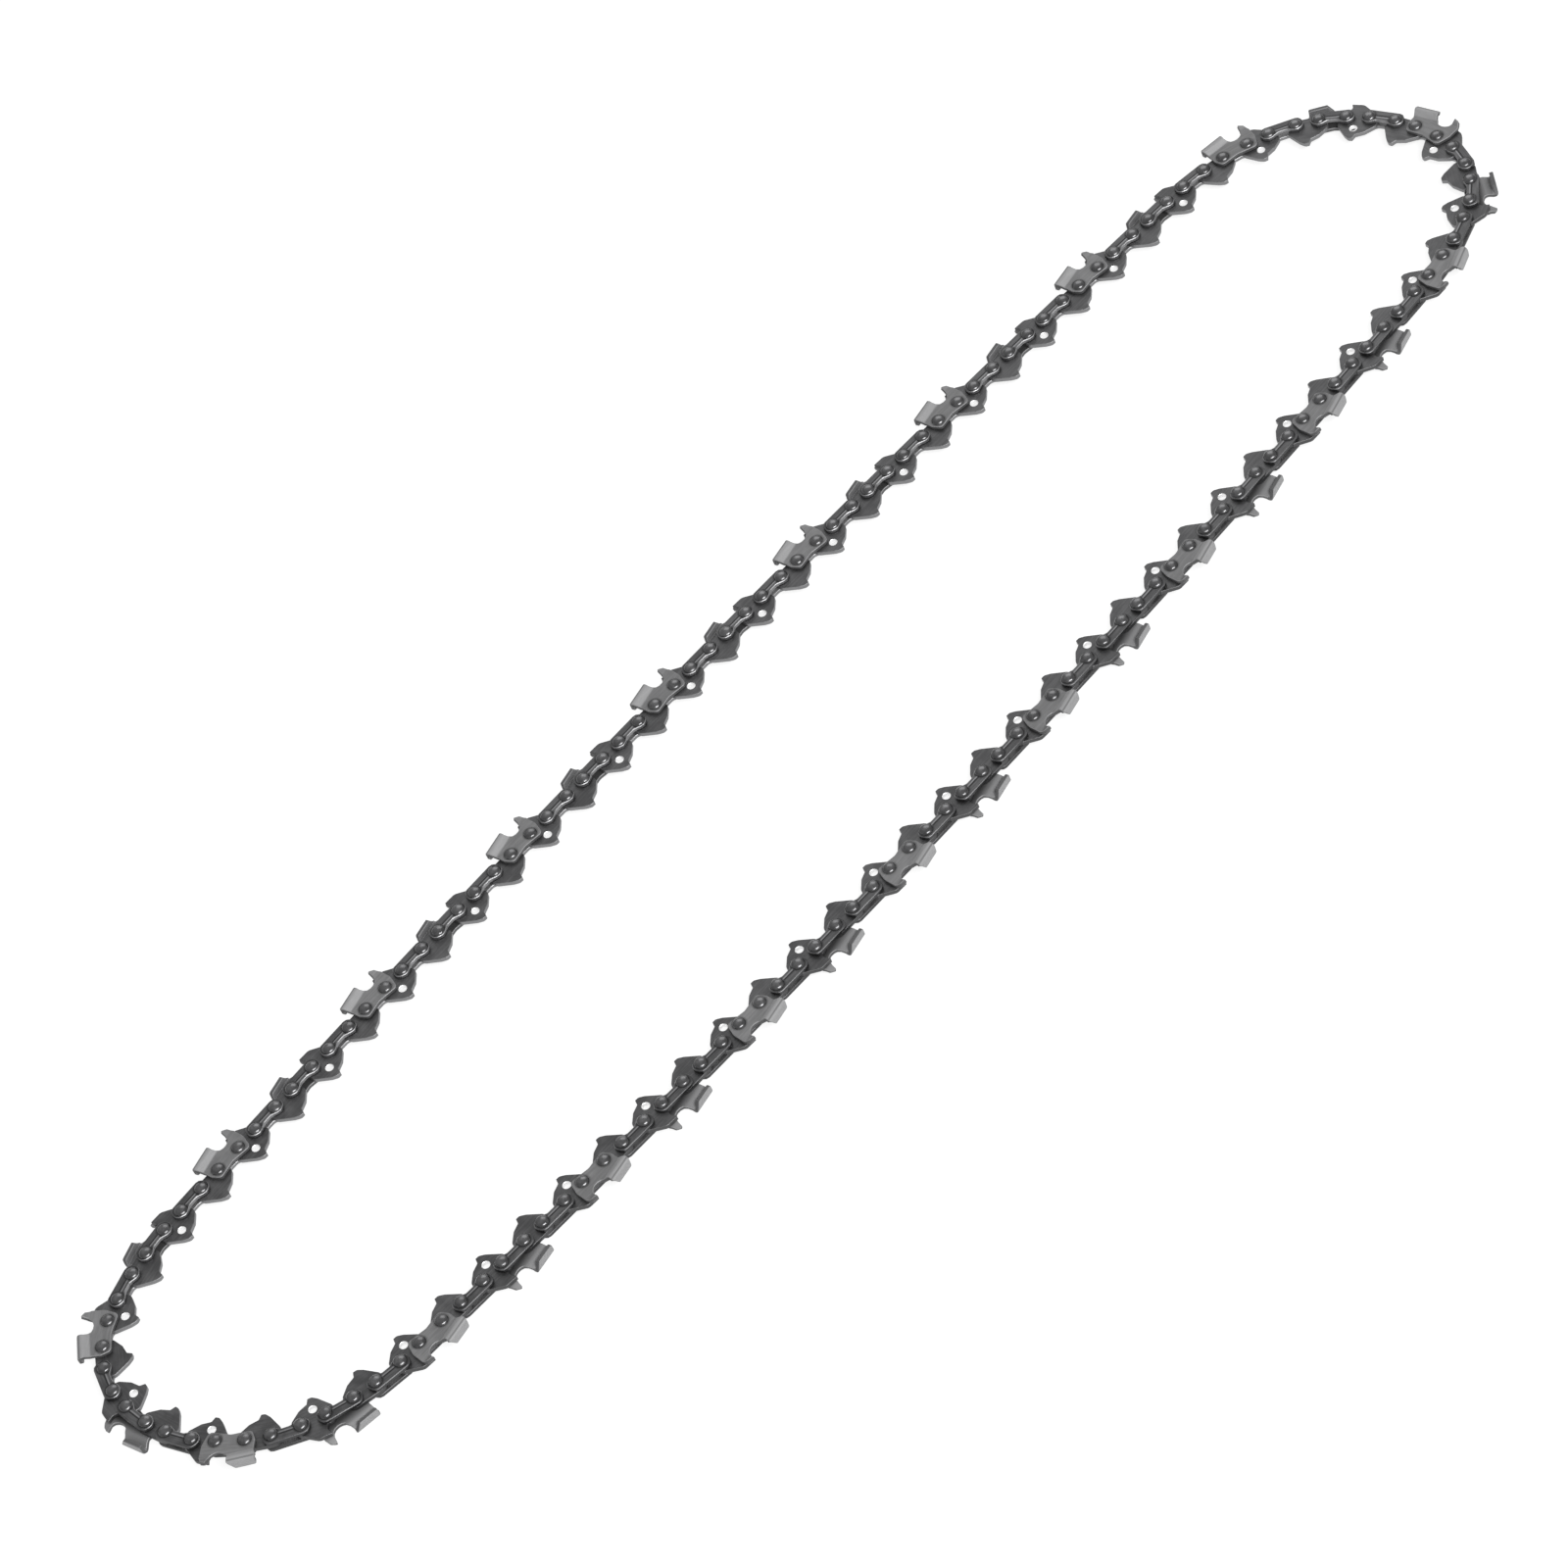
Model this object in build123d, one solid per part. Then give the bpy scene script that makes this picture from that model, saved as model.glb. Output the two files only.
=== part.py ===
from build123d import *
import math
import os

# Saw chain loop for a chainsaw bar, in millimetres, lying on its side with +Z up.
# The origin is the middle of the loop, on the surface that the loop lies on.
# Every link is drawn in a frame of its own: x along the travel, from its rear rivet,
# y away from the inside of the loop, and z across the chain from the middle of the drive links.

# Rivet spacing, which is 16.51 for one drive link and one side link together
drive_link_pitch = 7.6
side_link_pitch = 8.91

# Lay of half the loop in repeats of four links. The other half is the same, turned by half a turn.
run_repeats = 14
bend_turns = (24, 37, 38, 55, 20)
links_in_repeat = 4

# Hinges, at the front rivets of tie straps, as counts of repeats along half the loop
hinge_repeat_counts = (4, 9, 14, 16, 18)

# Plates
gauge = 1.5
side_plate_thickness = 1.3
side_play = 0.05

# Rivets that the sections turn on, with few sides because the loop has so many links
pin_radius = 1.9
pin_clearance = 0.05
pin_sides = 8

# Drive link, both kinds
link_end = 2.6
link_outer_edge = 2.8
tang_root_depth = 2.8
tang_depth = 8.3
tip_width = 1.3
tip_back = 0.4
heel_reach = 3.2
heel_depth = 7.0
notch_reach = 0.3
notch_depth = 6.7
shoulder_reach = 3.1
shoulder_depth = 5.6

# Bumper drive link, which goes ahead of each cutter
hump_height = 6.5
hump_rear_reach = 3.5
hump_front_reach = 0.6
hump_foot_reach = 4.8
oil_hole_diameter = 2.7
oil_hole_sides = 6
oil_hole_depth = 4.1
oil_hole_back = 0.8

# Tie strap
strap_end = 3.1
strap_outer_edge = 3.0
strap_corner_cut = 1.2
strap_foot_depth = 2.9
strap_foot_reach = 0.4
strap_end_depth = 0.4
strap_waist_depth = 0.9
strap_waist_width = 3.0

# Cutter side plate
cutter_foot_depth = 3.0
cutter_rear_foot = 1.6
cutter_front_foot = 2.3
cutter_waist_depth = 1.9
cutter_rear_end = 3.1
cutter_rear_height = 2.6
cutter_rear_top = 5.2
cutter_front_end = 3.9
cutter_front_bottom = 1.5
cutter_front_top = 5.6
depth_gauge_height = 7.8
depth_gauge_front = 3.0
depth_gauge_shoulder = 7.2
gullet_radius = 3.2
gullet_back = 1.9
gullet_centre_height = 7.2
gullet_sides = 4

# Cutter top plate, folded over the chain
kerf = 6.8
flare_start_height = 3.6
flare_end_height = 5.6
top_height = 7.65
top_plate_thickness = 1.3
top_plate_overhang = 0.2
top_slope_angle = 12
top_rear_reach = 4.4
cutting_angle = 30

# Heights across the chain
middle_height = kerf / 2
side_plate_inner = gauge / 2 + side_play
side_plate_outer = side_plate_inner + side_plate_thickness
half_repeats = run_repeats + len(bend_turns)
loop_repeats = 2 * half_repeats


def lay_of_loop():
    """Rear rivet and heading of every link, in travel order, clockwise seen from above."""
    run_turn = 180 - sum(bend_turns)
    half_turns = [run_turn / run_repeats] * run_repeats + list(bend_turns)
    heading = run_turn / 2
    rivet = Vector(0, 0)
    places = []
    for turn in half_turns + half_turns:
        for link in range(links_in_repeat):
            places.append((rivet, heading))
            pitch = side_link_pitch if link % 2 else drive_link_pitch
            rivet = rivet + Vector(pitch, 0).rotate(Axis.Z, heading)
            heading = heading - turn / links_in_repeat
    middle = sum((place[0] for place in places), Vector(0, 0)) / len(places)
    lift = Vector(0, 0, middle_height)
    return [(rivet - middle + lift, heading) for rivet, heading in places]


def plate(points, bottom, thickness):
    """Flat plate of the given outline, from a height across the chain."""
    face = make_face(Polyline(*points, close=True))
    return Pos(0, 0, bottom) * extrude(face, thickness)


def drive_link(bumper, bored):
    """Drive link with its tang; a bored one turns on the pin at its rear rivet."""
    middle = drive_link_pitch / 2
    front = drive_link_pitch
    tang = [
        (-link_end, link_outer_edge),
        (-link_end, -tang_root_depth),
        (middle - heel_reach, -heel_depth),
        (middle - tip_back - tip_width, -tang_depth),
        (middle - tip_back, -tang_depth),
        (middle + notch_reach, -notch_depth),
        (middle + shoulder_reach, -shoulder_depth),
        (front + link_end, -tang_root_depth),
        (front + link_end, link_outer_edge),
    ]
    hump = [
        (middle + hump_foot_reach, link_outer_edge),
        (middle + hump_front_reach, hump_height),
        (middle - hump_rear_reach, hump_height),
        (middle - hump_rear_reach, link_outer_edge),
    ]
    link = plate(tang + hump if bumper else tang, -gauge / 2, gauge)
    if bumper:
        hole = RegularPolygon(oil_hole_diameter / 2, oil_hole_sides)
        link -= Pos(middle - oil_hole_back, -oil_hole_depth) * extrude(hole, gauge, both=True)
    if bored:
        bore = RegularPolygon(pin_radius + pin_clearance, pin_sides, major_radius=False)
        link -= extrude(bore, gauge, both=True)
    return link


def tie_strap(bottom):
    """Side plate that joins two drive links, arched between its feet."""
    middle = side_link_pitch / 2
    rear_half = [
        (middle - strap_waist_width / 2, -strap_waist_depth),
        (-strap_foot_reach, -strap_foot_depth),
        (-strap_end, -strap_end_depth),
        (strap_corner_cut - strap_end, strap_outer_edge),
    ]
    front_half = [(side_link_pitch - x, y) for x, y in reversed(rear_half)]
    return plate(rear_half + front_half, bottom, side_plate_thickness)


def strap_pair(pinned):
    """Tie straps on both sides of the drive links; a pinned pair holds the rivet of a hinge."""
    straps = [tie_strap(side_plate_inner), tie_strap(-side_plate_outer)]
    if not pinned:
        return straps
    pin = extrude(RegularPolygon(pin_radius, pin_sides), side_plate_inner, both=True)
    return [straps[0] + Pos(side_link_pitch) * pin + straps[1]]


def cutter(hand):
    """Cutter of one folded plate: side plate, depth gauge, flare and top plate."""
    rear = -top_rear_reach
    rise = math.tan(math.radians(top_slope_angle))
    front = side_link_pitch
    outer = kerf / 2
    under_top = top_height - top_plate_thickness
    fold = [
        (-tang_depth, side_plate_outer),
        (flare_start_height, side_plate_outer),
        (flare_end_height, outer),
        (top_height, outer),
        (top_height, -top_plate_overhang),
        (under_top, -top_plate_overhang),
        (under_top, outer - side_plate_thickness),
        (flare_start_height, side_plate_inner),
        (-tang_depth, side_plate_inner),
    ]
    # The fold runs forwards and up, so the top plate falls away behind its cutting edge.
    rear_plane = Plane((rear, rise * rear, 0), x_dir=(0, 1, 0), z_dir=(1, 0, 0))
    length = front + cutter_front_end - rear
    slope = Vector(1, rise, 0)
    sheet = extrude(
        rear_plane * make_face(Polyline(*fold, close=True)), length * slope.length, dir=slope
    )
    above = top_height + tang_depth
    gullet_middle = front - gullet_back
    gullet = []
    for side_of_gullet in range(1, gullet_sides + 1):
        turn = -math.pi * side_of_gullet / gullet_sides
        x = gullet_middle + gullet_radius * math.cos(turn)
        gullet.append((x, gullet_centre_height + gullet_radius * math.sin(turn)))
    corner_reach = gullet_middle - gullet_radius
    outline = [
        (-cutter_rear_foot, -cutter_foot_depth),
        (front / 2, -cutter_waist_depth),
        (front + cutter_front_foot, -cutter_foot_depth),
        (front + cutter_front_end, cutter_front_bottom),
        (front + cutter_front_end, cutter_front_top),
        (front + depth_gauge_front, depth_gauge_shoulder),
        (gullet_middle + gullet_radius, depth_gauge_height),
        *gullet,
        (corner_reach, above),
        (rear, above),
        (rear, cutter_rear_top),
        (-cutter_rear_end, cutter_rear_height),
        (-cutter_rear_end, 0),
    ]
    blank = sheet & plate(outline, -kerf, 2 * kerf)
    # The cutting edge leads at the outer corner and runs back across the chain.
    corner = Pos(corner_reach, flare_end_height, outer) * Rot(0, cutting_angle, 0)
    into_gullet = (Align.MIN, Align.MIN, Align.CENTER)
    blank -= corner * Box(gullet_radius, above, 2 * kerf, align=into_gullet)
    return blank if hand > 0 else mirror(blank, about=Plane.XY)


def place(solid, at):
    rivet, heading = at
    return Pos(rivet) * Rot(0, 0, heading) * solid


def write(name, solids):
    export_step(Compound(children=[Part() + solid for solid in solids]), f"parts/{name}.step")


places = lay_of_loop()
hinges = [repeat + half * half_repeats for half in (0, 1) for repeat in hinge_repeat_counts]

if __name__ == "__main__":
    os.makedirs("parts", exist_ok=True)
    right_cutter = cutter(1)
    left_cutter = cutter(-1)
    lone_strap = {1: tie_strap(-side_plate_outer), -1: tie_strap(side_plate_inner)}
    for section, hinge in enumerate(hinges):
        next_hinge = hinges[(section + 1) % len(hinges)]
        drive_links = []
        tie_straps = []
        for step in range((next_hinge - hinge) % loop_repeats):
            repeat = (hinge + step) % loop_repeats
            first = repeat * links_in_repeat
            ahead = (first + links_in_repeat) % len(places)
            side = -1 if repeat % 2 else 1
            pinned = (repeat + 1) % loop_repeats == next_hinge
            drive_links.append(place(drive_link(False, step == 0), places[first + 2]))
            drive_links.append(place(drive_link(True, False), places[ahead]))
            tie_straps.append(place(lone_strap[side], places[first + 3]))
            tie_straps += [place(strap, places[ahead + 1]) for strap in strap_pair(pinned)]
            blade = right_cutter if side > 0 else left_cutter
            name = "right_cutter" if side > 0 else "left_cutter"
            write(f"{name}_{repeat // 2 + 1:02d}", [place(blade, places[first + 3])])
        write(f"drive_links_{section + 1:02d}", drive_links)
        write(f"tie_straps_{section + 1:02d}", tie_straps)
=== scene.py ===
import math

import bmesh
import bpy
from mathutils import Matrix, Vector


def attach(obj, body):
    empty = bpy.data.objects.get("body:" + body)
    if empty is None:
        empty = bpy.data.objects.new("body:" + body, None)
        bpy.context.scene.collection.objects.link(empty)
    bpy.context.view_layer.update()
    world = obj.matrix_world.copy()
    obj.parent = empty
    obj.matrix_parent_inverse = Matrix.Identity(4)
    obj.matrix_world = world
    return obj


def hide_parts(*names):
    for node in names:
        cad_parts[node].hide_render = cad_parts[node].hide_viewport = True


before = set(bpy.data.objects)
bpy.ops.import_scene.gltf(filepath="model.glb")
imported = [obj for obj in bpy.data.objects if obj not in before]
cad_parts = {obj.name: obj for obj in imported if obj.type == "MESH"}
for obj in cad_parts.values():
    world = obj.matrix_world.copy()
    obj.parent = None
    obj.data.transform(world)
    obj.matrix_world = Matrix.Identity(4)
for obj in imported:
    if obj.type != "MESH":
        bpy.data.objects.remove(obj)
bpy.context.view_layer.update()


# Drive links: flat links stamped from hardened sheet steel, whose tangs run in the bar's groove.
# Every other one is a bumper link, which goes ahead of a cutter and has a hump and an oil hole.
# The steel is dark and oiled, with fine streaks along it; its walls and rims are painted lighter on
# the tangs' side, partly as bare steel and partly as painted light, and its outer walls are painted
# dark as shade.

# Sizes of links are in millimetres, and the turns of the bends in degrees for each repeat.
mm = 0.001
drive_link_pitch = 7.6
side_link_pitch = 8.91
run_repeats = 14
bend_turns = (24, 37, 38, 55, 20)
links_in_repeat = 4
hinge_repeat_counts = (4, 9, 14, 16, 18)
chain_middle = 3.4


def lay_of_loop():
    """Rear rivet, in millimetres, and heading of every link, in travel order."""
    run_turn = 180 - sum(bend_turns)
    half_turns = [run_turn / run_repeats] * run_repeats + list(bend_turns)
    heading = math.radians(run_turn / 2)
    rivet = Vector((0, 0))
    lay = []
    for turn in half_turns + half_turns:
        for link in range(links_in_repeat):
            lay.append((rivet, heading))
            pitch = side_link_pitch if link % 2 else drive_link_pitch
            rivet = rivet + pitch * Vector((math.cos(heading), math.sin(heading)))
            heading -= math.radians(turn) / links_in_repeat
    middle = sum((place[0] for place in lay), Vector((0, 0))) / len(lay)
    return [(rivet - middle, heading) for rivet, heading in lay]


places = lay_of_loop()
half_repeats = run_repeats + len(bend_turns)
loop_repeats = 2 * half_repeats
hinges = [count + half * half_repeats for half in (0, 1) for count in hinge_repeat_counts]
section_repeats = {}
for number, hinge in enumerate(hinges):
    length = (hinges[(number + 1) % len(hinges)] - hinge) % loop_repeats
    section_repeats[f"section_{number + 1:02d}"] = [
        (hinge + step) % loop_repeats for step in range(length)
    ]


def place_of(repeat, link):
    """Rear rivet and heading of a link, counted from the first link of a repeat."""
    return places[(repeat * links_in_repeat + link) % len(places)]


def rounded(corners, arc_steps):
    """Outline through corners given as x, y and radius, rounded by an arc where there is a radius."""
    outline = []
    for index, (x, y, radius) in enumerate(corners):
        corner = Vector((x, y))
        if not radius:
            outline.append(corner)
            continue
        back = (Vector(corners[index - 1][:2]) - corner).normalized()
        ahead = (Vector(corners[(index + 1) % len(corners)][:2]) - corner).normalized()
        half_angle = back.angle(ahead) / 2
        centre = corner + (back + ahead).normalized() * radius / math.sin(half_angle)
        first = corner + back * radius / math.tan(half_angle) - centre
        last = corner + ahead * radius / math.tan(half_angle) - centre
        turn = math.copysign(math.pi - 2 * half_angle, first.cross(last))
        for step in range(arc_steps + 1):
            outline.append(centre + Matrix.Rotation(turn * step / arc_steps, 2) @ first)
    return outline


def circle(x, y, radius, sides):
    """Outline of a round hole."""
    angles = [2 * math.pi * side / sides for side in range(sides)]
    return [Vector((x + radius * math.cos(a), y + radius * math.sin(a))) for a in angles]


outer_face = 0
cut_wall = 1
chamfer = 2
inner_face = 3
sharp_angle = math.radians(32)
# Walls and flat faces are told apart by how much of their normal points up or down.
most_on_wall = 0.3
least_on_face = 0.95
weld_distance = 0.001


def link_shape(name, mesh, kind_of):
    """Object for one link, which keeps its own coordinates and the kind of each of its faces."""
    place = mesh.attributes.new("link_place", "FLOAT_VECTOR", "POINT")
    for vertex in mesh.vertices:
        place.data[vertex.index].vector = vertex.co
    kind = mesh.attributes.new("face_kind", "FLOAT", "FACE")
    for face in mesh.polygons:
        kind.data[face.index].value = kind_of(face)
    mesh.shade_smooth()
    mesh.set_sharp_from_angle(angle=sharp_angle)
    mesh.transform(Matrix.Scale(mm, 4))
    shape = bpy.data.objects.new(name, mesh)
    bpy.context.scene.collection.objects.link(shape)
    return shape


def kind_on_plate(face, plate_middle):
    """Kind of a plate's face, which is an inner one where it looks back at the middle of the chain."""
    upright_share = abs(face.normal.z)
    if upright_share < most_on_wall:
        return cut_wall
    if face.normal.z * plate_middle < 0:
        return inner_face if upright_share > least_on_face else cut_wall
    return outer_face if upright_share > least_on_face else chamfer


def stamped_plate(name, outlines, bottom, thickness, rim):
    """Flat plate with a chamfered rim round its outline and its holes."""
    curve = bpy.data.curves.new(name, "CURVE")
    curve.dimensions = "2D"
    curve.fill_mode = "BOTH"
    curve.extrude = thickness / 2 - rim
    curve.bevel_depth = rim
    curve.bevel_resolution = 0
    curve.offset = -rim
    for outline in outlines:
        spline = curve.splines.new("POLY")
        spline.points.add(len(outline) - 1)
        for point, corner in zip(spline.points, outline):
            point.co = (*corner, 0, 1)
        spline.use_cyclic_u = True
    drawn = bpy.data.objects.new(name, curve)
    bpy.context.scene.collection.objects.link(drawn)
    mesh = bpy.data.meshes.new_from_object(
        drawn.evaluated_get(bpy.context.evaluated_depsgraph_get())
    )
    bpy.data.objects.remove(drawn)
    solid = bmesh.new()
    solid.from_mesh(mesh)
    bmesh.ops.remove_doubles(solid, verts=solid.verts, dist=weld_distance)
    bmesh.ops.recalc_face_normals(solid, faces=solid.faces)
    solid.to_mesh(mesh)
    solid.free()
    plate_middle = bottom + thickness / 2
    mesh.transform(Matrix.Translation((0, 0, plate_middle)))
    return link_shape(name, mesh, lambda face: kind_on_plate(face, plate_middle))


class Wire:
    """An output of a node. Sums written with it add Math nodes to its tree."""

    def __init__(self, tree, socket=None):
        self.tree = tree
        self.socket = socket

    def node(self, kind, settings, sockets, output=0):
        """Adds a node, sets it up, feeds its sockets and returns one of its outputs."""
        added = self.tree.nodes.new(kind)
        for name, value in settings.items():
            setattr(added, name, value)
        for key, value in sockets.items():
            if isinstance(value, Wire):
                self.tree.links.new(value.socket, added.inputs[key])
            else:
                added.inputs[key].default_value = value
        return Wire(self.tree, added.outputs[output])

    def beside(self, output):
        """Another output of the same node."""
        return Wire(self.tree, self.socket.node.outputs[output])

    def maths(self, operation, first, second):
        """Result of a Math node on two wires or numbers."""
        return self.node("ShaderNodeMath", {"operation": operation}, {0: first, 1: second})

    def __add__(self, other):
        return self.maths("ADD", self, other)

    def __radd__(self, other):
        return self.maths("ADD", other, self)

    def __sub__(self, other):
        return self.maths("SUBTRACT", self, other)

    def __rsub__(self, other):
        return self.maths("SUBTRACT", other, self)

    def __mul__(self, other):
        return self.maths("MULTIPLY", self, other)

    def __rmul__(self, other):
        return self.maths("MULTIPLY", other, self)

    def larger(self, other):
        """The larger of this and another."""
        return self.maths("MAXIMUM", self, other)

    def rises(self, low, high):
        """0 below low, 1 above high and a smooth step between them."""
        settings = {"interpolation_type": "SMOOTHSTEP"}
        return self.node("ShaderNodeMapRange", settings, {"Value": self, 1: low, 2: high})

    def within(self, low, high, soft):
        """1 between low and high, and 0 outside them, with soft edges inside both."""
        return self.rises(low, low + soft) * (1 - self.rises(high - soft, high))

    def equals(self, value):
        """1 within a tenth of the value, and 0 elsewhere."""
        return self.node("ShaderNodeMath", {"operation": "COMPARE"}, {0: self, 1: value, 2: 0.1})

    def mixed(self, first, second):
        """First colour where this is 0, and second where it is 1."""
        # Inputs 6 and 7 and output 2 of a Mix node are those for colours.
        settings = {"data_type": "RGBA"}
        return self.node("ShaderNodeMix", settings, {0: self, 6: first, 7: second}, 2)


def new_tree(name, inputs, output):
    """Wire for a new geometry tree, and a wire for each of its named inputs."""
    tree = bpy.data.node_groups.new(name, "GeometryNodeTree")
    for label, kind in inputs:
        tree.interface.new_socket(label, in_out="INPUT", socket_type=f"NodeSocket{kind}")
    tree.interface.new_socket(output, in_out="OUTPUT", socket_type="NodeSocketGeometry")
    entry = tree.nodes.new("NodeGroupInput")
    return Wire(tree), {socket.name: Wire(tree, socket) for socket in entry.outputs}


def places_on_chain(wire, given):
    """Places lifted to the middle of the chain, and the turn of the link at each."""
    lift = wire.node("ShaderNodeCombineXYZ", {}, {"Z": given["Chain Middle"]})
    lifted = wire.node(
        "GeometryNodeSetPosition", {}, {"Geometry": given["Places"], "Offset": lift}
    )
    heading = wire.node("GeometryNodeInputNamedAttribute", {}, {"Name": "heading"})
    euler = wire.node("ShaderNodeCombineXYZ", {}, {"Z": heading})
    return lifted, wire.node("FunctionNodeEulerToRotation", {}, {"Euler": euler})


def finish_tree(wire, given, instances):
    """Gives each instance a chance of its own, makes the instances real and sets their steel."""
    index = wire.node("GeometryNodeInputIndex", {}, {})
    # Output 1 of a Random Value node is the one for single numbers.
    chance = wire.node(
        "FunctionNodeRandomValue",
        {"data_type": "FLOAT"},
        {"ID": index, "Seed": given["Seed"]},
        1,
    )
    marked = wire.node(
        "GeometryNodeStoreNamedAttribute",
        {"data_type": "FLOAT", "domain": "INSTANCE"},
        {"Geometry": instances, "Name": "link_chance", "Value": chance},
    )
    real = wire.node("GeometryNodeRealizeInstances", {}, {"Geometry": marked})
    dressed = wire.node(
        "GeometryNodeSetMaterial", {}, {"Geometry": real, "Material": given["Steel"]}
    )
    leave = wire.tree.nodes.new("NodeGroupOutput")
    wire.tree.links.new(dressed.socket, leave.inputs[0])


def lay_links_tree():
    """Lays two kinds of link along the loop, each turned to its heading."""
    inputs = (
        ("Places", "Geometry"),
        ("First Link", "Object"),
        ("Second Link", "Object"),
        ("Chain Middle", "Float"),
        ("Seed", "Int"),
        ("Steel", "Material"),
    )
    wire, given = new_tree("lay links along the loop", inputs, "Links")
    lifted, rotation = places_on_chain(wire, given)
    second = wire.node("GeometryNodeInputNamedAttribute", {}, {"Name": "second_kind"})
    laid = []
    for chosen, shape in ((1 - second, "First Link"), (second, "Second Link")):
        link = wire.node("GeometryNodeObjectInfo", {}, {"Object": given[shape]}, "Geometry")
        laid.append(
            wire.node(
                "GeometryNodeInstanceOnPoints",
                {},
                {"Points": lifted, "Selection": chosen, "Instance": link, "Rotation": rotation},
            )
        )
    joined = wire.node("GeometryNodeJoinGeometry", {}, {})
    for links in reversed(laid):
        wire.tree.links.new(links.socket, joined.socket.node.inputs[0])
    finish_tree(wire, given, joined)
    return wire.tree


def points_mesh(name, lay):
    """Vertices at places given as rivet, heading and kind."""
    mesh = bpy.data.meshes.new(name)
    mesh.from_pydata([(x * mm, y * mm, 0) for (x, y), heading, kind in lay], [], [])
    for attribute, column in (("heading", 1), ("second_kind", 2)):
        layer = mesh.attributes.new(attribute, "FLOAT", "POINT")
        for index, place in enumerate(lay):
            layer.data[index].value = place[column]
    return mesh


def grown(name, mesh, tree, values):
    """Runs a tree on a mesh with its inputs set by name, and keeps the plain result."""
    seedling = bpy.data.objects.new(name, mesh)
    bpy.context.scene.collection.objects.link(seedling)
    modifier = seedling.modifiers.new(name, "NODES")
    modifier.node_group = tree
    for item in tree.interface.items_tree:
        if item.in_out == "INPUT" and item.name in values:
            modifier[item.identifier] = values[item.name]
    depsgraph = bpy.context.evaluated_depsgraph_get()
    plain = bpy.data.meshes.new_from_object(
        seedling.evaluated_get(depsgraph), preserve_all_data_layers=True, depsgraph=depsgraph
    )
    seedling.modifiers.clear()
    seedling.data = plain
    return seedling


def noted(wire, name, output):
    """Value that the mesh keeps under a name."""
    return wire.node("ShaderNodeAttribute", {"attribute_name": name}, {}, output)


def steel(name):
    """New steel, with its wire, shader, place on the link and chance of the link."""
    material = bpy.data.materials.new(name)
    material.use_nodes = True
    wire = Wire(material.node_tree)
    shader = material.node_tree.nodes["Principled BSDF"]
    shader.inputs["Metallic"].default_value = 1.0
    place = noted(wire, "link_place", "Vector")
    chance = noted(wire, "link_chance", "Fac")
    return material, wire, shader, place, chance


chance_spread = 60


def drawn_noise(wire, place, chance, scale, detail):
    """Noise drawn out along the link, different on every link."""
    drawn_out = wire.node(
        "ShaderNodeVectorMath", {"operation": "MULTIPLY"}, {0: place, 1: scale}
    )
    return wire.node(
        "ShaderNodeTexNoise",
        {"noise_dimensions": "4D"},
        {"Vector": drawn_out, "W": chance * chance_spread, "Scale": 1.0, "Detail": detail},
    )


def streak_and_cloud(wire, place, chance, streak_scale, cloud_scale):
    """Fine streaks along the link and broad stains on it, both from 0 to 1."""
    streak = drawn_noise(wire, place, chance, streak_scale, 4.0).rises(0.35, 0.7)
    cloud = drawn_noise(wire, place, chance, cloud_scale, 2.0).rises(0.3, 0.75)
    return streak, cloud


def away_from(wire, place, x, y):
    """Distance on the link's plane from a point of the link, in the unit of the place."""
    on_plane = wire.node(
        "ShaderNodeVectorMath", {"operation": "MULTIPLY"}, {0: place, 1: (1, 1, 0)}
    )
    return wire.node(
        "ShaderNodeVectorMath", {"operation": "DISTANCE"}, {0: on_plane, 1: (x, y, 0)}, "Value"
    )


def along_and_across(wire, place):
    """Distances on the link, in millimetres: along it, and out from the line of its rivets."""
    along = wire.node("ShaderNodeSeparateXYZ", {}, {"Vector": place})
    return along, along.beside("Y")


def feed(wire, shader, socket, value):
    """Links a wire to a socket of the shader."""
    wire.tree.links.new(value.socket, shader.inputs[socket])


def feed_relief(wire, shader, strength, depth, height):
    """Raises the surface by a height, in shares of a depth in millimetres."""
    sockets = {"Strength": strength, "Distance": depth * mm, "Height": height}
    feed(wire, shader, "Normal", wire.node("ShaderNodeBump", {}, sockets))


link_gauge = 1.5
link_rim = 0.12
link_end = 2.6
link_outer_edge = 2.8
tang_root_depth = 2.8
link_arc_steps = 4
middle = drive_link_pitch / 2
oil_hole = (middle - 0.8, -4.1)
oil_hole_radius = 1.24
oil_hole_sides = 16
tang_corners = [
    (-link_end, link_outer_edge, 2.3),  # rear outer corner
    (-link_end, -tang_root_depth, 1.8),  # rear root of the tang
    (middle - 3.2, -7.0, 2.4),  # heel
    (middle - 1.7, -8.3, 1.2),  # rear of the tip
    (middle - 0.4, -8.35, 0.2),  # front of the tip
    (middle + 0.3, -6.7, 0.5),  # notch ahead of the tip
    (middle + 3.1, -5.6, 0.9),  # shoulder
    (drive_link_pitch + link_end, -tang_root_depth, 1.8),  # front root of the tang
    (drive_link_pitch + link_end, link_outer_edge, 2.3),  # front outer corner
]
hump_corners = [
    (middle + 4.8, link_outer_edge, 1.2),  # front foot
    (middle + 0.6, 6.4, 2.2),  # front of the top
    (middle - 3.5, 6.55, 0.2),  # rear tip
    (middle - 2.7, 4.3, 1.0),  # hollow under the tip
    (middle - 3.3, link_outer_edge, 0.4),  # rear foot
]
plain_outline = rounded(tang_corners, link_arc_steps)
bumper_outline = rounded(tang_corners + hump_corners, link_arc_steps)
hole_outline = circle(*oil_hole, oil_hole_radius, oil_hole_sides)
plain_link = stamped_plate(
    "plain link", [plain_outline], -link_gauge / 2, link_gauge, link_rim
)
bumper_link = stamped_plate(
    "bumper link", [bumper_outline, hole_outline], -link_gauge / 2, link_gauge, link_rim
)

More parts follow.
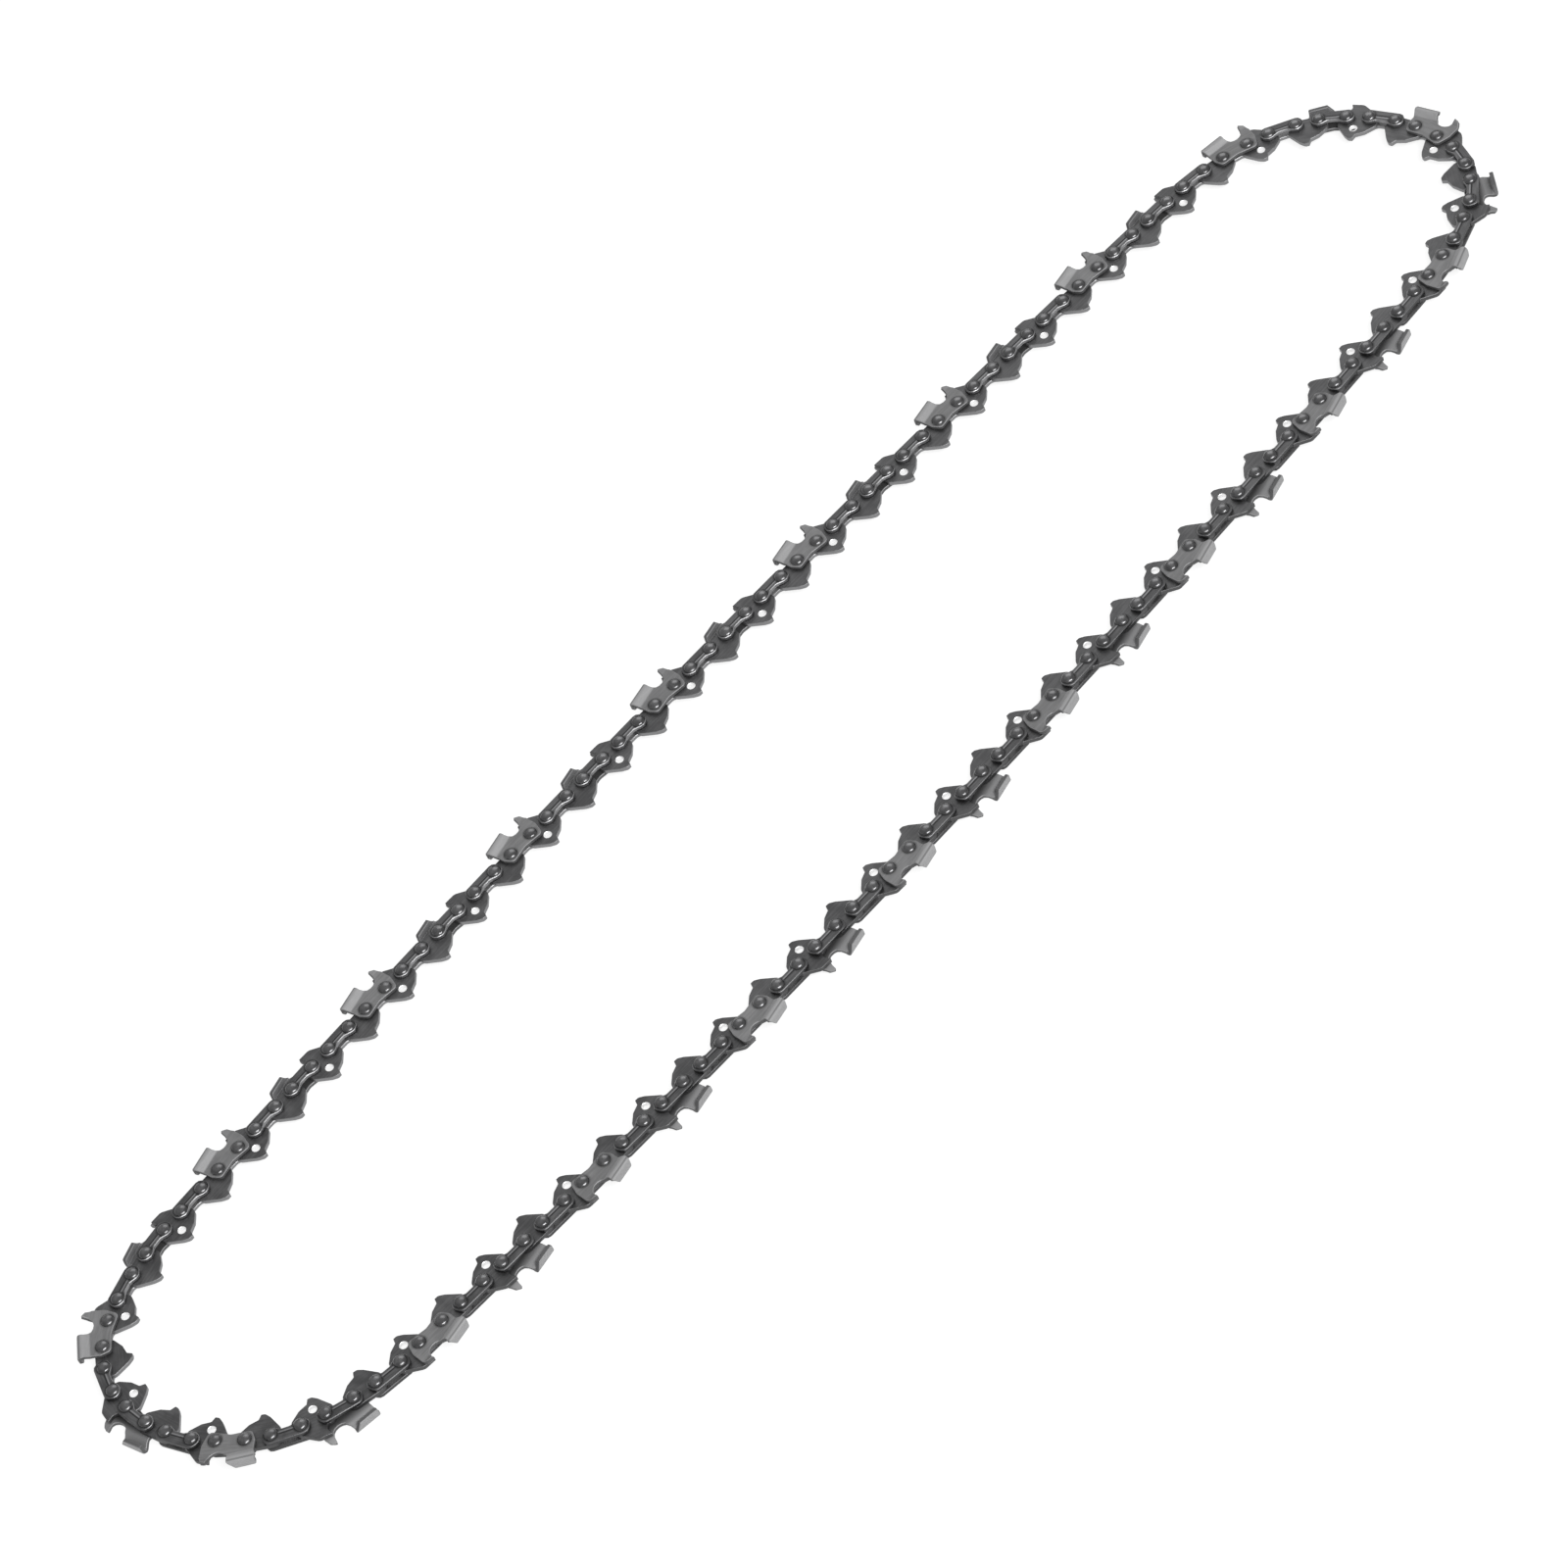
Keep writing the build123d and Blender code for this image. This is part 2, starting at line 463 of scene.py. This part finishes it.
link_dark = (0.085, 0.085, 0.087, 1)
link_light = (0.16, 0.16, 0.163, 1)
link_edge_shaded = (0.1, 0.1, 0.102, 1)
link_edge_bare_and_lit = (0.25, 0.25, 0.255, 1)
link_rim_bare_and_lit = (0.22, 0.22, 0.225, 1)
hole_wall_painted_light = (0.95, 0.95, 0.95, 1)
link_steel, wire, shader, place, chance = steel("oiled link steel")
kind = noted(wire, "face_kind", "Fac")
across = along_and_across(wire, place)[1]
wall = kind.equals(cut_wall)
rim = kind.equals(chamfer)
streak, cloud = streak_and_cloud(wire, place, chance, (0.12, 2.2, 1.0), (0.25, 0.3, 0.3))
face_tone = (0.55 * cloud + 0.35 * streak + 0.25 * chance).rises(0.0, 1.15)
face = face_tone.mixed(link_dark, link_light)
# Painted light and shade: walls and rims on the tangs' side are lighter, partly bare steel and partly
# painted light; outer walls are painted dark as shade.
tang_side = 1 - across.rises(0.5, 2.0)
edge = tang_side.mixed(link_edge_shaded, link_edge_bare_and_lit)
walled = wall.mixed(face, edge)
bare_and_lit_rim = rim * tang_side * (0.4 + 0.6 * cloud)
rimmed = bare_and_lit_rim.mixed(walled, link_rim_bare_and_lit)
# Painted light: the oil hole's bore wall is painted near white, as if brightly lit.
from_hole = away_from(wire, place, *oil_hole)
in_hole = 1 - from_hole.rises(oil_hole_radius + 0.1, oil_hole_radius + 0.2)
bored = (in_hole * (wall + rim)).mixed(rimmed, hole_wall_painted_light)
feed(wire, shader, "Base Color", bored)
feed(wire, shader, "Roughness", 0.46 + 0.12 * cloud)
feed_relief(wire, shader, 0.25, 0.04, streak)

plain_link_at = 2
bumper_link_at = 4
link_seed = 0
links_tree = lay_links_tree()
for body, repeats in section_repeats.items():
    number = body[-2:]
    lay = [(*place_of(repeat, plain_link_at), 0) for repeat in repeats]
    lay += [(*place_of(repeat, bumper_link_at), 1) for repeat in repeats]
    values = {
        "First Link": plain_link,
        "Second Link": bumper_link,
        "Chain Middle": chain_middle * mm,
        "Seed": link_seed + int(number),
        "Steel": link_steel,
    }
    links = grown(f"drive_links_of_{body}", points_mesh("links", lay), links_tree, values)
    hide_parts(f"drive_links_{number}")
    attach(links, body)
bpy.data.objects.remove(plain_link)
bpy.data.objects.remove(bumper_link)


# Tie straps: narrow side plates that join the drive links, in pairs between the cutters.
# They are stamped from the same steel, arched on the side that runs on the bar's rails.
# A coined line runs from rivet to rivet with a painted highlight beside it; the arched edge is painted
# lighter, partly as wear from the rails and partly as painted light, and the outer edges are painted
# dark as shade.

side_plate_thickness = 1.3
side_plate_inner = 0.8
side_plate_outer = side_plate_inner + side_plate_thickness
strap_rim = 0.18
strap_arc_steps = 2
strap_half = [
    (side_link_pitch / 2 - 1.5, -0.9, 1.6),  # top of the arch
    (-0.4, -2.9, 2.4),  # foot
    (-3.1, -0.4, 1.9),  # rear end
    (-1.9, 3.0, 1.8),  # outer corner
]
strap_corners = strap_half + [
    (side_link_pitch - x, y, radius) for x, y, radius in reversed(strap_half)
]
strap_outline = rounded(strap_corners, strap_arc_steps)
upper_strap = stamped_plate(
    "upper strap", [strap_outline], side_plate_inner, side_plate_thickness, strap_rim
)
lower_strap = stamped_plate(
    "lower strap", [strap_outline], -side_plate_outer, side_plate_thickness, strap_rim
)


# Painted shade: a dark band round each rivet head on straps and cutters stands in for the heads'
# contact shadow.
def rivet_shade_ring(wire, place, inner, outer):
    """1 round both rivets of a side link, falling to 0 from an inner to an outer radius."""
    rear, front = [
        1 - away_from(wire, place, x, 0).rises(inner, outer) for x in (0, side_link_pitch)
    ]
    return rear.larger(front)


strap_dark = (0.085, 0.085, 0.087, 1)
strap_light = (0.165, 0.165, 0.168, 1)
strap_line_and_shade = (0.035, 0.035, 0.036, 1)
strap_painted_highlight = (0.45, 0.45, 0.46, 1)
strap_edge_shaded = (0.075, 0.075, 0.077, 1)
strap_edge_worn_and_lit = (0.26, 0.26, 0.265, 1)
strap_inside_lit_outer = (0.3, 0.3, 0.303, 1)
strap_inside_lit_arched = (0.5, 0.5, 0.505, 1)
strap_rim_worn_and_lit = (0.32, 0.32, 0.325, 1)
strap_steel, wire, shader, place, chance = steel("oiled strap steel")
kind = noted(wire, "face_kind", "Fac")
along, across = along_and_across(wire, place)
streak, cloud = streak_and_cloud(wire, place, chance, (0.15, 2.6, 1.0), (0.3, 0.35, 0.3))
face_tone = (0.5 * cloud + 0.4 * streak + 0.25 * chance).rises(0.0, 1.15)
face = face_tone.mixed(strap_dark, strap_light)
between_rivets = along.within(1.9, 7.0, 0.7)
coined = across.within(0.35, 1.0, 0.15) * between_rivets
# Painted highlight: a light line along the line of the rivets, beside the coined line.
painted_line_highlight = across.within(-0.1, 0.45, 0.15) * between_rivets
shade_ring = rivet_shade_ring(wire, place, 2.2, 2.9)
# The coined line is darkened, and the band round each rivet is painted shade, in the same dark colour.
dark_lines_and_shade = (0.85 * coined).larger(0.7 * shade_ring).mixed(face, strap_line_and_shade)
lined = (0.5 * painted_line_highlight).mixed(dark_lines_and_shade, strap_painted_highlight)
# Painted light and shade: walls and rims on the arched side are lighter, partly wear and partly
# painted light; outer walls are painted dark as shade.
arched = 1 - across.rises(-1.2, 1.5)
edge = arched.mixed(strap_edge_shaded, strap_edge_worn_and_lit)
walled = kind.equals(cut_wall).mixed(lined, edge)
# Painted light: the straps' inner faces, which lie in shade between the plates, are painted light
# grey, lighter still on the arched side.
inside = arched.mixed(strap_inside_lit_outer, strap_inside_lit_arched)
lit_inside = kind.equals(inner_face).mixed(walled, inside)
rim_worn_and_lit = kind.equals(chamfer) * (0.05 + 0.95 * arched)
feed(wire, shader, "Base Color", rim_worn_and_lit.mixed(lit_inside, strap_rim_worn_and_lit))
feed(wire, shader, "Roughness", 0.42 + 0.14 * cloud)
feed_relief(wire, shader, 0.5, 0.1, 0.2 * streak - coined)

cutter_at = 3
strap_pair_at = 5
strap_seed = 20
for body, repeats in section_repeats.items():
    number = body[-2:]
    lay = [(*place_of(repeat, strap_pair_at), side) for repeat in repeats for side in (0, 1)]
    lay += [(*place_of(repeat, cutter_at), 0 if repeat % 2 else 1) for repeat in repeats]
    values = {
        "First Link": upper_strap,
        "Second Link": lower_strap,
        "Chain Middle": chain_middle * mm,
        "Seed": strap_seed + int(number),
        "Steel": strap_steel,
    }
    straps = grown(f"tie_straps_of_{body}", points_mesh("straps", lay), links_tree, values)
    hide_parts(f"tie_straps_{number}")
    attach(straps, body)
bpy.data.objects.remove(upper_strap)
bpy.data.objects.remove(lower_strap)


# Cutters: each one is a blank of plated sheet steel, flared outwards and folded over the chain.
# Its depth gauge stands ahead of a round gullet, behind which the ground top plate cuts at an angle.
# They alternate in hand, and their satin plating is lighter than the links.

top_slope = math.radians(12)
rise = math.tan(top_slope)
flare_start = 3.6
flare_end = 5.6
flare_reach = 1.3
flare_length = math.hypot(flare_end - flare_start, flare_reach)
flare_lean = math.atan2(flare_reach, flare_end - flare_start)
flare_zone = 0.8
flare_to_top = 1.75
top_fold = flare_start + flare_length + flare_to_top
top_zone = 2.2
top_width = 3.3
top_rear = -4.4
cutting_angle = math.radians(30)
# Each fold is its height on the flat blank, its turn and the length of blank that it bends.
folds = (
    (flare_start, flare_lean, flare_zone),
    (flare_start + flare_length, -flare_lean, flare_zone),
    (top_fold, -math.pi / 2, top_zone),
)
flat_below = flare_start - 1
fold_steps = 4
fold_samples = 60
cut_snap = 0.02
gullet_middle = side_link_pitch - 1.9
gullet_height = 7.2
gullet_radius = 3.2
gullet_steps = 9
cutter_arc_steps = 3
cutter_rim = 0.18


def on_blank(x, y, radius):
    """Corner of the flat blank for a corner of the side plate or the depth gauge."""
    height = y - rise * x
    if height > flare_start:
        height = flare_start + (height - flare_start) * flare_length / (flare_end - flare_start)
    return x, height, radius


def cutter_corners():
    """Corners of the flat blank as x, height and radius, from the rear foot forwards."""
    front = side_link_pitch
    corner_reach = gullet_middle - gullet_radius
    top_end = top_fold + top_width
    slant = top_width * math.tan(cutting_angle)
    corners = [
        on_blank(-1.6, -3.0, 1.6),  # rear foot
        on_blank(front / 2, -1.9, 3.0),  # waist
        on_blank(front + 2.3, -3.0, 1.2),  # front foot
        on_blank(front + 3.9, 1.5, 3.0),  # front end
        on_blank(front + 3.9, 5.6, 1.2),  # front of the depth gauge
        on_blank(front + 3.0, 7.2, 0.5),  # shoulder of the depth gauge
        on_blank(gullet_middle + gullet_radius - 0.1, 7.9, 0.15),  # tip of the depth gauge
    ]
    for step in range(1, gullet_steps):
        turn = -math.pi * step / gullet_steps
        x = gullet_middle + gullet_radius * math.cos(turn)
        corners.append(on_blank(x, gullet_height + gullet_radius * math.sin(turn), 0))
    corners += [
        (corner_reach, top_fold, 0),  # cutting corner
        (corner_reach - slant, top_end, 0.3),  # inner end of the cutting edge
        (-4.2, top_end, 0.6),  # inner rear of the top plate
        (top_rear, top_fold, 0),  # outer rear of the top plate
        on_blank(top_rear, 5.2, 1.0),  # rear, under the top plate
        on_blank(-3.1, 2.6, 0.9),  # rear of the side plate
        on_blank(-3.1, 0.0, 1.2),  # rear end
    ]
    return corners


def folded(height):
    """Height, offset across the chain and lean of the outer face, for a height on the flat blank."""
    if height <= flat_below:
        return height, side_plate_outer, 0
    length = (height - flat_below) / fold_samples
    up = flat_below
    across = side_plate_outer
    for step in range(fold_samples):
        at = flat_below + length * (step + 0.5)
        lean = 0
        for middle_of_fold, turn, zone in folds:
            lean += turn * min(1, max(0, (at - middle_of_fold) / zone + 0.5))
        up += length * math.cos(lean)
        across += length * math.sin(lean)
    return up, across, lean


def folded_cutter(name, hand):
    """Cutter from its blank: outline, cut along the folds, folded, thickened and chamfered."""
    outline = rounded(cutter_corners(), cutter_arc_steps)
    blank = bmesh.new()
    blank.faces.new([blank.verts.new((x, y, 0)) for x, y in outline])
    for middle_of_fold, turn, zone in folds:
        for step in range(fold_steps + 1):
            cut = middle_of_fold + zone * (step / fold_steps - 0.5)
            everything = [*blank.verts, *blank.edges, *blank.faces]
            bmesh.ops.bisect_plane(
                blank, geom=everything, dist=cut_snap, plane_co=(0, cut, 0), plane_no=(0, 1, 0)
            )
    for face in blank.faces:
        face.material_index = outer_face
    outer_faces = list(blank.faces)
    rim_edges = [edge for edge in blank.edges if edge.is_boundary]
    inner = {}
    for vertex in list(blank.verts):
        x, height = vertex.co.xy
        up, across, lean = folded(height)
        vertex.co = (x, up + rise * x, across)
        outwards = Vector((1, rise, 0)).cross((0, math.cos(lean), math.sin(lean))).normalized()
        inner[vertex] = blank.verts.new(vertex.co - side_plate_thickness * outwards)
    for face in outer_faces:
        under = blank.faces.new([inner[vertex] for vertex in reversed(face.verts)])
        under.material_index = inner_face
    for edge in rim_edges:
        start, end = edge.verts
        side = blank.faces.new([end, start, inner[start], inner[end]])
        side.material_index = cut_wall
    bmesh.ops.recalc_face_normals(blank, faces=blank.faces)
    inner_rims = [blank.edges.get([inner[vertex] for vertex in edge.verts]) for edge in rim_edges]
    bmesh.ops.bevel(
        blank,
        geom=rim_edges + inner_rims,
        offset=cutter_rim,
        segments=1,
        profile=0.5,
        affect="EDGES",
        material=chamfer,
    )
    solid = bpy.data.meshes.new(name)
    blank.to_mesh(solid)
    blank.free()
    if hand < 0:
        solid.transform(Matrix.Scale(-1, 4, (0, 0, 1)))
        solid.flip_normals()
    shape = link_shape(name, solid, lambda face: face.material_index)
    for face in solid.polygons:
        face.material_index = 0
    return shape


right_cutter = folded_cutter("right cutter", 1)
left_cutter = folded_cutter("left cutter", -1)

plating_metallic = 0.45
plating_dark = (0.15, 0.15, 0.152, 1)
plating_light = (0.225, 0.225, 0.228, 1)
flare_painted_sheen = (0.45, 0.45, 0.455, 1)
cutter_painted_shade = (0.06, 0.06, 0.061, 1)
under_shaded = (0.05, 0.05, 0.051, 1)
under_flare = (0.2, 0.2, 0.203, 1)
under_top_lit = (0.26, 0.26, 0.264, 1)
cutter_edge = (0.1, 0.1, 0.102, 1)
cutter_rim_bare = (0.24, 0.24, 0.244, 1)
cutter_steel, wire, shader, place, chance = steel("satin cutter plating")
kind = noted(wire, "face_kind", "Fac")
shader.inputs["Metallic"].default_value = plating_metallic
along, across = along_and_across(wire, place)
up = across - rise * along
streak, cloud = streak_and_cloud(wire, place, chance, (0.12, 1.8, 1.8), (0.2, 0.25, 0.25))
face_tone = (0.45 * cloud + 0.4 * streak + 0.2 * chance).rises(0.0, 1.1)
face = face_tone.mixed(plating_dark, plating_light)
# Painted sheen: the flare band is painted lighter, as where light falls on it.
flared = up.rises(flare_start - 0.1, flare_start + 0.5) * (1 - along.rises(4.4, 5.0))
bright = (0.45 * flared).mixed(face, flare_painted_sheen)
# Painted shade: a dark line along the fold to the top plate, and a dark band round each rivet.
fold_shade_line = up.within(6.5, 7.2, 0.2) * (1 - along.rises(4.0, 4.4))
shade_ring = rivet_shade_ring(wire, place, 2.2, 2.8)
dark_lines_and_shade = (0.55 * fold_shade_line).larger(0.6 * shade_ring).mixed(bright, cutter_painted_shade)
# Painted light and shade: inner faces darken towards the chain as painted shade, and the top plate's
# inner face is painted lighter as painted light.
under_plate = up.rises(1.0, 3.8).mixed(under_shaded, under_flare)
under = up.rises(flare_end, flare_end + 0.6).mixed(under_plate, under_top_lit)
lined = kind.equals(inner_face).mixed(dark_lines_and_shade, under)
walled = kind.equals(cut_wall).mixed(lined, cutter_edge)
feed(wire, shader, "Base Color", kind.equals(chamfer).mixed(walled, cutter_rim_bare))
feed(wire, shader, "Roughness", 0.56 + 0.14 * cloud)
feed_relief(wire, shader, 0.3, 0.04, streak)

cutter_seed = 40
for body, repeats in section_repeats.items():
    lay = [(*place_of(repeat, cutter_at), repeat % 2) for repeat in repeats]
    values = {
        "First Link": right_cutter,
        "Second Link": left_cutter,
        "Chain Middle": chain_middle * mm,
        "Seed": cutter_seed + int(body[-2:]),
        "Steel": cutter_steel,
    }
    cutters = grown(f"cutters_of_{body}", points_mesh("cutters", lay), links_tree, values)
    for repeat in repeats:
        hand = "left" if repeat % 2 else "right"
        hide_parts(f"{hand}_cutter_{repeat // 2 + 1:02d}")
    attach(cutters, body)
bpy.data.objects.remove(right_cutter)
bpy.data.objects.remove(left_cutter)


# Rivets: steel pins through the drive links, whose ends are spun over the side plates.
# Each spun head is a dark dome with steep sides, standing proud of the strap or the cutter.
# They turn with the side plates that they hold.

head_radius = 2.15
head_height = 1.0
head_sides = 14
head_rings = 8
ball_cut = -0.01


def rivets_tree():
    """Puts a domed head on both sides of the chain at every rivet."""
    inputs = (
        ("Places", "Geometry"),
        ("Head Radius", "Float"),
        ("Head Height", "Float"),
        ("Plate Height", "Float"),
        ("Chain Middle", "Float"),
        ("Sides", "Int"),
        ("Rings", "Int"),
        ("Seed", "Int"),
        ("Steel", "Material"),
    )
    wire, given = new_tree("spin rivet heads", inputs, "Heads")
    ball = wire.node(
        "GeometryNodeMeshUVSphere",
        {},
        {"Segments": given["Sides"], "Rings": given["Rings"], "Radius": 1.0},
    )
    spot = wire.node("GeometryNodeInputPosition", {}, {})
    height = wire.node("ShaderNodeSeparateXYZ", {}, {"Vector": spot}, "Z")
    hidden = wire.maths("LESS_THAN", height, ball_cut)
    dome = wire.node("GeometryNodeDeleteGeometry", {}, {"Geometry": ball, "Selection": hidden})
    smooth = wire.node("GeometryNodeSetShadeSmooth", {}, {"Geometry": dome})
    size = wire.node(
        "ShaderNodeCombineXYZ",
        {},
        {"X": given["Head Radius"], "Y": given["Head Radius"], "Z": given["Head Height"]},
    )
    heads = wire.node("GeometryNodeJoinGeometry", {}, {})
    for side, half_turn in ((1, 0), (-1, math.pi)):
        seat = wire.node("ShaderNodeCombineXYZ", {}, {"Z": side * given["Plate Height"]})
        seated = {
            "Geometry": smooth,
            "Translation": seat,
            "Rotation": (half_turn, 0, 0),
            "Scale": size,
        }
        head = wire.node("GeometryNodeTransform", {}, seated)
        wire.tree.links.new(head.socket, heads.socket.node.inputs[0])
    placed = wire.node(
        "GeometryNodeStoreNamedAttribute",
        {"data_type": "FLOAT_VECTOR", "domain": "POINT"},
        {"Geometry": heads, "Name": "link_place", "Value": spot},
    )
    lifted, rotation = places_on_chain(wire, given)
    set_in = wire.node(
        "GeometryNodeInstanceOnPoints",
        {},
        {"Points": lifted, "Instance": placed, "Rotation": rotation},
    )
    finish_tree(wire, given, set_in)
    return wire.tree


# The place on a rivet head is in metres, because the tree stores it.
spun_scale = 900.0
rivet_dark = (0.09, 0.09, 0.092, 1)
rivet_light = (0.2, 0.2, 0.204, 1)
rivet_steel, wire, shader, place, chance = steel("spun rivet steel")
radius = away_from(wire, place, 0, 0)
# Painted light: the top of each head is painted lighter, as where light falls on it.
lit_crown = 1 - radius.rises(0.35 * head_radius * mm, 0.8 * head_radius * mm)
spun = wire.node(
    "ShaderNodeTexNoise",
    {"noise_dimensions": "4D"},
    {"Vector": place, "W": chance * chance_spread, "Scale": spun_scale, "Detail": 2.0},
).rises(0.35, 0.7)
tone = 0.45 * lit_crown + 0.35 * spun + 0.2 * chance
feed(wire, shader, "Base Color", tone.mixed(rivet_dark, rivet_light))
feed(wire, shader, "Roughness", 0.22 + 0.12 * spun)

rivet_seed = 60
heads_tree = rivets_tree()
for body, repeats in section_repeats.items():
    lay = []
    for repeat in repeats:
        for link in (cutter_at, strap_pair_at):
            lay.append((*place_of(repeat, link), 0))
            lay.append((*place_of(repeat, link + 1), 0))
    values = {
        "Head Radius": head_radius * mm,
        "Head Height": head_height * mm,
        "Plate Height": side_plate_outer * mm,
        "Chain Middle": chain_middle * mm,
        "Sides": head_sides,
        "Rings": head_rings,
        "Seed": rivet_seed + int(body[-2:]),
        "Steel": rivet_steel,
    }
    heads = grown(f"rivet_heads_of_{body}", points_mesh("rivets", lay), heads_tree, values)
    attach(heads, body)


# Floor, light and camera: a white sheet under soft studio light, seen from the photograph's angle.
# A broad lamp by the camera gives the rivets their highlights, a faint one lights the far side,
# and the bright surroundings give the rest.

floor_reach = 4.0
floor_white = (0.9, 0.9, 0.9, 1)
pure_white = (1, 1, 1, 1)
glow_strength = 1.12
glow_share = 0.75
floor_mesh = bpy.data.meshes.new("floor")
floor_mesh.from_pydata(
    [(x * floor_reach, y * floor_reach, 0) for x, y in ((-1, -1), (1, -1), (1, 1), (-1, 1))],
    [],
    [(0, 1, 2, 3)],
)
floor = bpy.data.objects.new("floor", floor_mesh)
bpy.context.scene.collection.objects.link(floor)
white_sheet = bpy.data.materials.new("white sheet")
white_sheet.use_nodes = True
sheet_tree = white_sheet.node_tree
wire = Wire(sheet_tree)


def seen_directly(wire):
    """1 for what the camera sees straight, mirrored in metal or through glass, else 0."""
    straight = wire.node("ShaderNodeLightPath", {}, {}, "Is Camera Ray")
    mirrored = straight.beside("Is Glossy Ray")
    return straight.larger(mirrored).larger(straight.beside("Is Transmission Ray"))


matt = wire.node("ShaderNodeBsdfDiffuse", {}, {"Color": floor_white})
glow = wire.node("ShaderNodeEmission", {}, {"Color": pure_white, "Strength": glow_strength})
blended = wire.node(
    "ShaderNodeMixShader", {}, {0: glow_share * seen_directly(wire), 1: matt, 2: glow}
)
sheet_tree.links.new(blended.socket, sheet_tree.nodes["Material Output"].inputs["Surface"])
floor_mesh.materials.append(white_sheet)

surroundings = 0.55
extra_when_seen = 0.45
world = bpy.data.worlds.new("studio")
bpy.context.scene.world = world
world.use_nodes = True
world_tree = world.node_tree
backdrop = world_tree.nodes["Background"]
backdrop.inputs["Color"].default_value = pure_white
wire = Wire(world_tree)
straight = wire.node("ShaderNodeLightPath", {}, {}, "Is Camera Ray")
feed(wire, backdrop, "Strength", surroundings + extra_when_seen * straight)

photo_pixels = 1600
focal_pixels = 5944
elevation = math.radians(47.25)
azimuth = math.radians(30.4)
roll = math.radians(22.84)
distance = 1.7318
loop_right = 0.0141
loop_ahead = 0.0106
level_right = Vector((math.cos(azimuth), -math.sin(azimuth), 0))
level_ahead = Vector((math.sin(azimuth), math.cos(azimuth), 0))
upright = Vector((0, 0, 1))
aim = chain_middle * mm * upright - loop_right * level_right - loop_ahead * level_ahead
sight = math.cos(elevation) * level_ahead - math.sin(elevation) * upright
above = math.sin(elevation) * level_ahead + math.cos(elevation) * upright
camera_right = math.cos(roll) * level_right - math.sin(roll) * above
camera_up = math.sin(roll) * level_right + math.cos(roll) * above
camera_data = bpy.data.cameras.new("camera")
camera_data.sensor_width = 36
camera_data.lens = focal_pixels / photo_pixels * camera_data.sensor_width
camera = bpy.data.objects.new("camera", camera_data)
axes = Matrix((camera_right, camera_up, -sight)).transposed()
camera.matrix_world = Matrix.Translation(aim - distance * sight) @ axes.to_4x4()
bpy.context.scene.collection.objects.link(camera)
bpy.context.scene.camera = camera


def soft_lamp(name, width, depth, watts, bearing, height, reach):
    """Broad lamp that faces the loop from a bearing to the right of the camera."""
    data = bpy.data.lights.new(name, "AREA")
    data.shape = "RECTANGLE"
    data.size = width
    data.size_y = depth
    data.energy = watts
    lamp = bpy.data.objects.new(name, data)
    level = math.cos(bearing) * -level_ahead + math.sin(bearing) * level_right
    spot = reach * (math.cos(height) * level + math.sin(height) * upright)
    lamp.location = spot
    lamp.rotation_euler = spot.to_track_quat("Z", "Y").to_euler()
    bpy.context.scene.collection.objects.link(lamp)


soft_lamp(
    "front lamp",
    width=3.4,
    depth=1.6,
    watts=220,
    bearing=math.radians(25),
    height=math.radians(48),
    reach=5.0,
)
soft_lamp(
    "back lamp",
    width=2.0,
    depth=2.0,
    watts=16,
    bearing=math.radians(165),
    height=math.radians(36),
    reach=3.4,
)
bpy.context.scene.view_settings.view_transform = "Standard"
